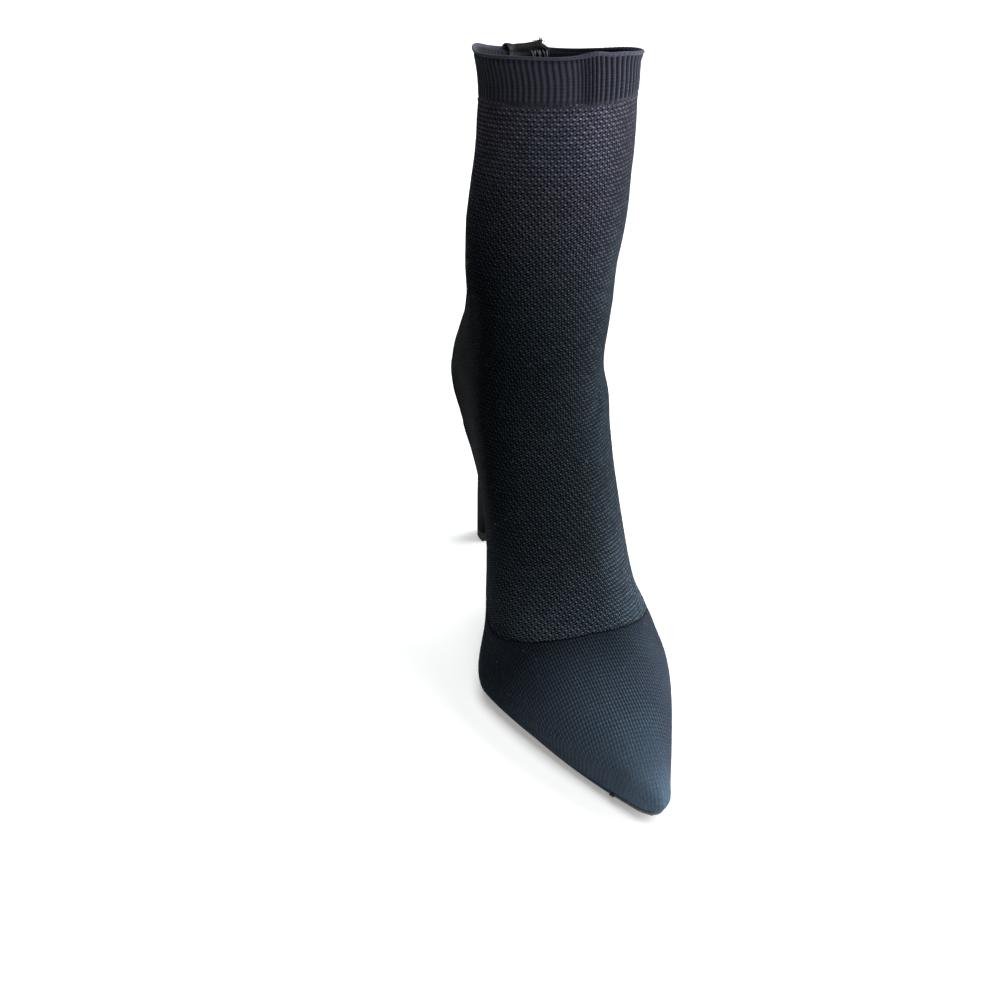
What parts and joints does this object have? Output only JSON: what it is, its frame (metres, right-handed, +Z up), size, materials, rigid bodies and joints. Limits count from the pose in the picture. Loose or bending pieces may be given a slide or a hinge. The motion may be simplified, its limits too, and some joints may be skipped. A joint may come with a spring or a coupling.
{
  "type": "knit ankle boot",
  "caption": "Left sock-style ankle boot in black knit with a pointed toe, ribbed cuff, leather pull loop and slim high heel.",
  "frame": {"origin": "on the floor under the middle of the boot's box", "axes": "+Z up along the shaft, -Y towards the toe, +X towards the outer side of the left foot"},
  "size_m": [0.0875, 0.231, 0.256],
  "materials": {
    "knit": "matte knit",
    "loop_leather": "glossy",
    "sock_lining": "matte",
    "sole": "satin",
    "heel_cover": "satin",
    "lift": "satin"
  },
  "bodies": {
    "root": {"upper": "knit", "pull_loop": "loop_leather", "insole": "sock_lining", "outsole": "sole", "heel": "heel_cover", "top_lift": "lift"}
  },
  "joints": []
}
